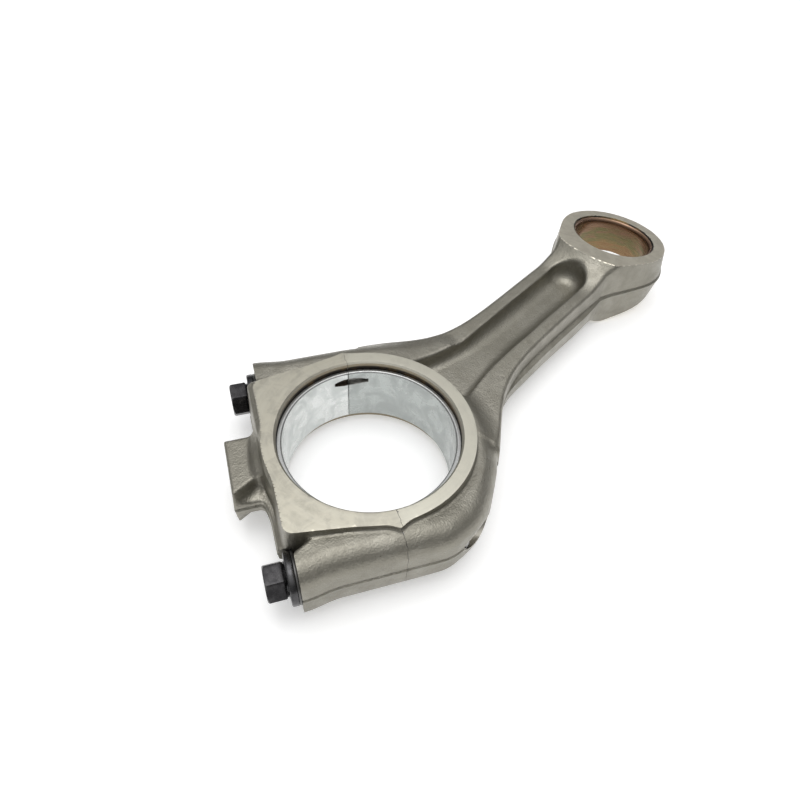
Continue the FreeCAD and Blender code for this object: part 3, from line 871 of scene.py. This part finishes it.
def bored_steel():
    """Housing bore: bare and beige near the mouth; beside the shells the wall is coloured near black as
    painted shade, mottled with brownish patches.
    """
    f = Finish("bored_steel", Metallic=0.85)
    fine = f.noise(0.6, 3.0, 0.6)
    brown_mottle = f.noise(9.0, 3.0, 0.6)
    z = f.math("ABSOLUTE", f.split()[2])
    mouth = f.levels(z, 15.3, 16.3)
    # painted shade: the wall between the mouth and the shells is coloured near black, with brownish patches
    painted_shade_mottled = f.blend(f.levels(brown_mottle, 0.45, 0.65), (0.03, 0.027, 0.022), (0.14, 0.09, 0.035))
    base = f.blend(mouth, painted_shade_mottled, (0.30, 0.26, 0.19))
    return f.finish(base, f.levels(fine, 0.3, 0.7, 0.32, 0.44), f.bump(fine, 0.006))


def black_oxide():
    f = Finish("black_oxide", Metallic=0.9)
    fine = f.noise(0.6, 3.0, 0.6)
    broad = f.noise(4.0, 3.0, 0.6)
    base = f.blend(f.levels(broad, 0.4, 0.65), (0.035, 0.034, 0.036), (0.065, 0.063, 0.065))
    return f.finish(base, f.levels(fine, 0.3, 0.7, 0.24, 0.40), f.bump(fine, 0.02))


def bolt_steel():
    f = Finish("flange_steel", Metallic=0.95)
    fine = f.noise(0.6, 3.0, 0.6)
    base = f.blend(f.levels(f.noise(3.5), 0.4, 0.65), (0.085, 0.084, 0.086), (0.055, 0.055, 0.057))
    return f.finish(base, f.levels(fine, 0.3, 0.7, 0.18, 0.32), f.bump(fine, 0.008))


def thread_steel():
    f = Finish("thread_steel", Metallic=0.9)
    fine = f.noise(0.4, 3.0, 0.6)
    base = f.blend(f.levels(fine, 0.4, 0.65), (0.16, 0.158, 0.155), (0.24, 0.238, 0.235))
    return f.finish(base, f.levels(fine, 0.3, 0.7, 0.28, 0.42), f.bump(fine, 0.008))


def crack_face():
    """Clean cracked steel: pale grey, glinting grains."""
    f = Finish("crack_face", Metallic=0.8)
    grain = f.noise(0.6, 5.0, 0.7)
    base = f.blend(f.levels(grain, 0.4, 0.65), (0.20, 0.195, 0.185), (0.36, 0.355, 0.34))
    normal = f.bump(f.noise(3.0, 4.0, 0.6), 0.5)
    return f.finish(base, f.levels(grain, 0.3, 0.7, 0.4, 0.6), f.bump(grain, 0.25, normal))


skin = forged_skin()
faces_milled = milled_face()
bored = bored_steel()
seat_steel = plain_metal("seat_steel", (0.45, 0.43, 0.38), (0.36, 0.345, 0.30), 0.9, 0.34, 0.5, 0.01)
washer_steel = plain_metal("washer_steel", (0.14, 0.138, 0.135), (0.09, 0.089, 0.088), 0.9, 0.32, 0.5, 0.01)
forging_slots = (skin, faces_milled, bored, crack_face(), seat_steel, eye_face())
cap_dent = plain_metal("dent_steel", (0.10, 0.075, 0.05), (0.05, 0.04, 0.03), 0.8, 0.42, 0.6, 0.01)
rod_dent = plain_metal("rod_dent_steel", (0.26, 0.255, 0.24), (0.18, 0.175, 0.16), 0.85, 0.36, 0.6, 0.01)
steel_back = shell_back()
bright_lining = lining("cap_shell_lining", (0.74, 0.755, 0.74), (0.60, 0.625, 0.61))
grey_lining = lining("rod_shell_lining", (0.46, 0.485, 0.47), (0.40, 0.42, 0.41))
cap_shell_slots = (steel_back, bright_lining, cap_dent)
rod_shell_slots = (steel_back, grey_lining, rod_dent)
bolt_slots = (black_oxide(), bolt_steel(), thread_steel())

# ---------------------------------------------------------------- pieces

def settle(piece, body, slot, *nodes):
    """Put a piece on its body and hide the CAD nodes it stands for; the slot argument is not used."""
    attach(piece, body)
    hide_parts(*nodes)


rod = forged_piece("rod_forging", rod_field, (-32, -68, -22), (223, 62, 22), "rod", forging_slots)
settle(rod, "rod", "forged_steel", "rod_body")
cap = forged_piece("cap_forging", cap_field, (-66, -60, -22), (36, 70, 22), "cap", forging_slots)
settle(cap, "cap", "forged_steel", "rod_cap")
settle(shell_piece("upper_bearing_shell", 1, rod_shell_slots), "rod", "shell_lining",
       "upper_shell_back", "upper_shell_lining")
settle(shell_piece("lower_bearing_shell", -1, cap_shell_slots), "cap", "shell_lining",
       "lower_shell_back", "lower_shell_lining")
settle(bush_piece("small_end_sleeve", (bronze(),)), "rod", "bush_bronze", "small_end_bush")
for place, v, turn in (("shank_side", BOLT_V, 0.6), ("outer_side", -BOLT_V, 0.52)):
    bolt = bolt_piece(place + "_flange_bolt", v, turn, bolt_slots)
    settle(bolt, place + "_bolt", "bolt_steel", place + "_bolt")
    washer = washer_piece(place + "_hard_washer", v, (washer_steel,))
    settle(washer, place + "_washer", "washer_steel", place + "_washer")

# ---------------------------------------------------------------- floor, light and camera

# the rod rests on the ring of its big end and on the thick edge of its small end
FLOOR_TILT = (WEDGE_NEAR - HALF) / (WEDGE_NEAR_X + RING_R)
FLOOR_GAP = 0.00002
FLOOR_REACH = 6.0


def white_paper():
    f = Finish("floor_paper", Emission_Color=(1, 1, 1, 1), Emission_Strength=0.32)
    cloud = f.levels(f.noise(30.0), 0.3, 0.7)
    return f.finish(f.blend(cloud, (0.93, 0.93, 0.93), (0.95, 0.95, 0.95)), 0.45)


floor_mesh = bpy.data.meshes.new("floor")
corners = [(x * FLOOR_REACH, y * FLOOR_REACH) for x, y in ((-1, -1), (1, -1), (1, 1), (-1, 1))]
floor_points = [(x, y, -HALF * MM - FLOOR_GAP - FLOOR_TILT * (x + RING_R * MM)) for x, y in corners]
floor_mesh.from_pydata(floor_points, [], [(0, 1, 2, 3)])
floor_mesh.materials.append(white_paper())
floor = bpy.data.objects.new("floor", floor_mesh)
bpy.context.collection.objects.link(floor)

world = bpy.data.worlds.new("studio")
bpy.context.scene.world = world
world.use_nodes = True
sky = world.node_tree
rise = sky.nodes.new("ShaderNodeSeparateXYZ")
sky.links.new(sky.nodes.new("ShaderNodeTexCoord").outputs["Generated"], rise.inputs[0])
tent = sky.nodes.new("ShaderNodeValToRGB")
stops = tent.color_ramp.elements
stops.new(0.45)
for element, (height, light) in zip(stops, ((0.0, 0.06), (0.58, 0.29), (1.0, 1.0))):
    element.position = height
    element.color = (light, light, light, 1)
sky.links.new(rise.outputs["Z"], tent.inputs[0])
sky.links.new(tent.outputs[0], sky.nodes["Background"].inputs["Color"])
sky.nodes["Background"].inputs["Strength"].default_value = 1.45


LAMP_PLACE, LAMP_AIM = Vector((0.02, 0.06, 0.9)), Vector((0.06, 0, 0))
overhead_data = bpy.data.lights.new("overhead", "AREA")
overhead_data.shape = "SQUARE"
overhead_data.size = 0.6
overhead_data.energy = 2.0
overhead = bpy.data.objects.new("overhead", overhead_data)
bpy.context.collection.objects.link(overhead)
overhead.location = LAMP_PLACE
overhead.rotation_euler = (LAMP_AIM - LAMP_PLACE).to_track_quat("-Z", "Y").to_euler()

AZIMUTH, ELEVATION, ROLL = math.radians(-51.22), math.radians(49.31), math.radians(4.39)
TARGET = Vector((0.03169, 0.01148, 0.0))
DISTANCE = 0.28723
flat = math.cos(ELEVATION)
back = Vector((math.sin(AZIMUTH) * flat, -math.cos(AZIMUTH) * flat, math.sin(ELEVATION)))
level = Vector((0, 0, 1)).cross(back).normalized()
above = back.cross(level)
right = math.cos(ROLL) * level + math.sin(ROLL) * above
upward = -math.sin(ROLL) * level + math.cos(ROLL) * above
camera_data = bpy.data.cameras.new("camera")
camera_data.sensor_width = 36.0
camera_data.lens = 29.124
camera_data.clip_start = 0.01
camera = bpy.data.objects.new("camera", camera_data)
bpy.context.collection.objects.link(camera)
turned = Matrix((right, upward, back)).transposed().to_4x4()
camera.matrix_world = Matrix.Translation(TARGET + DISTANCE * back) @ turned
bpy.context.scene.camera = camera
bpy.context.scene.view_settings.view_transform = "Standard"
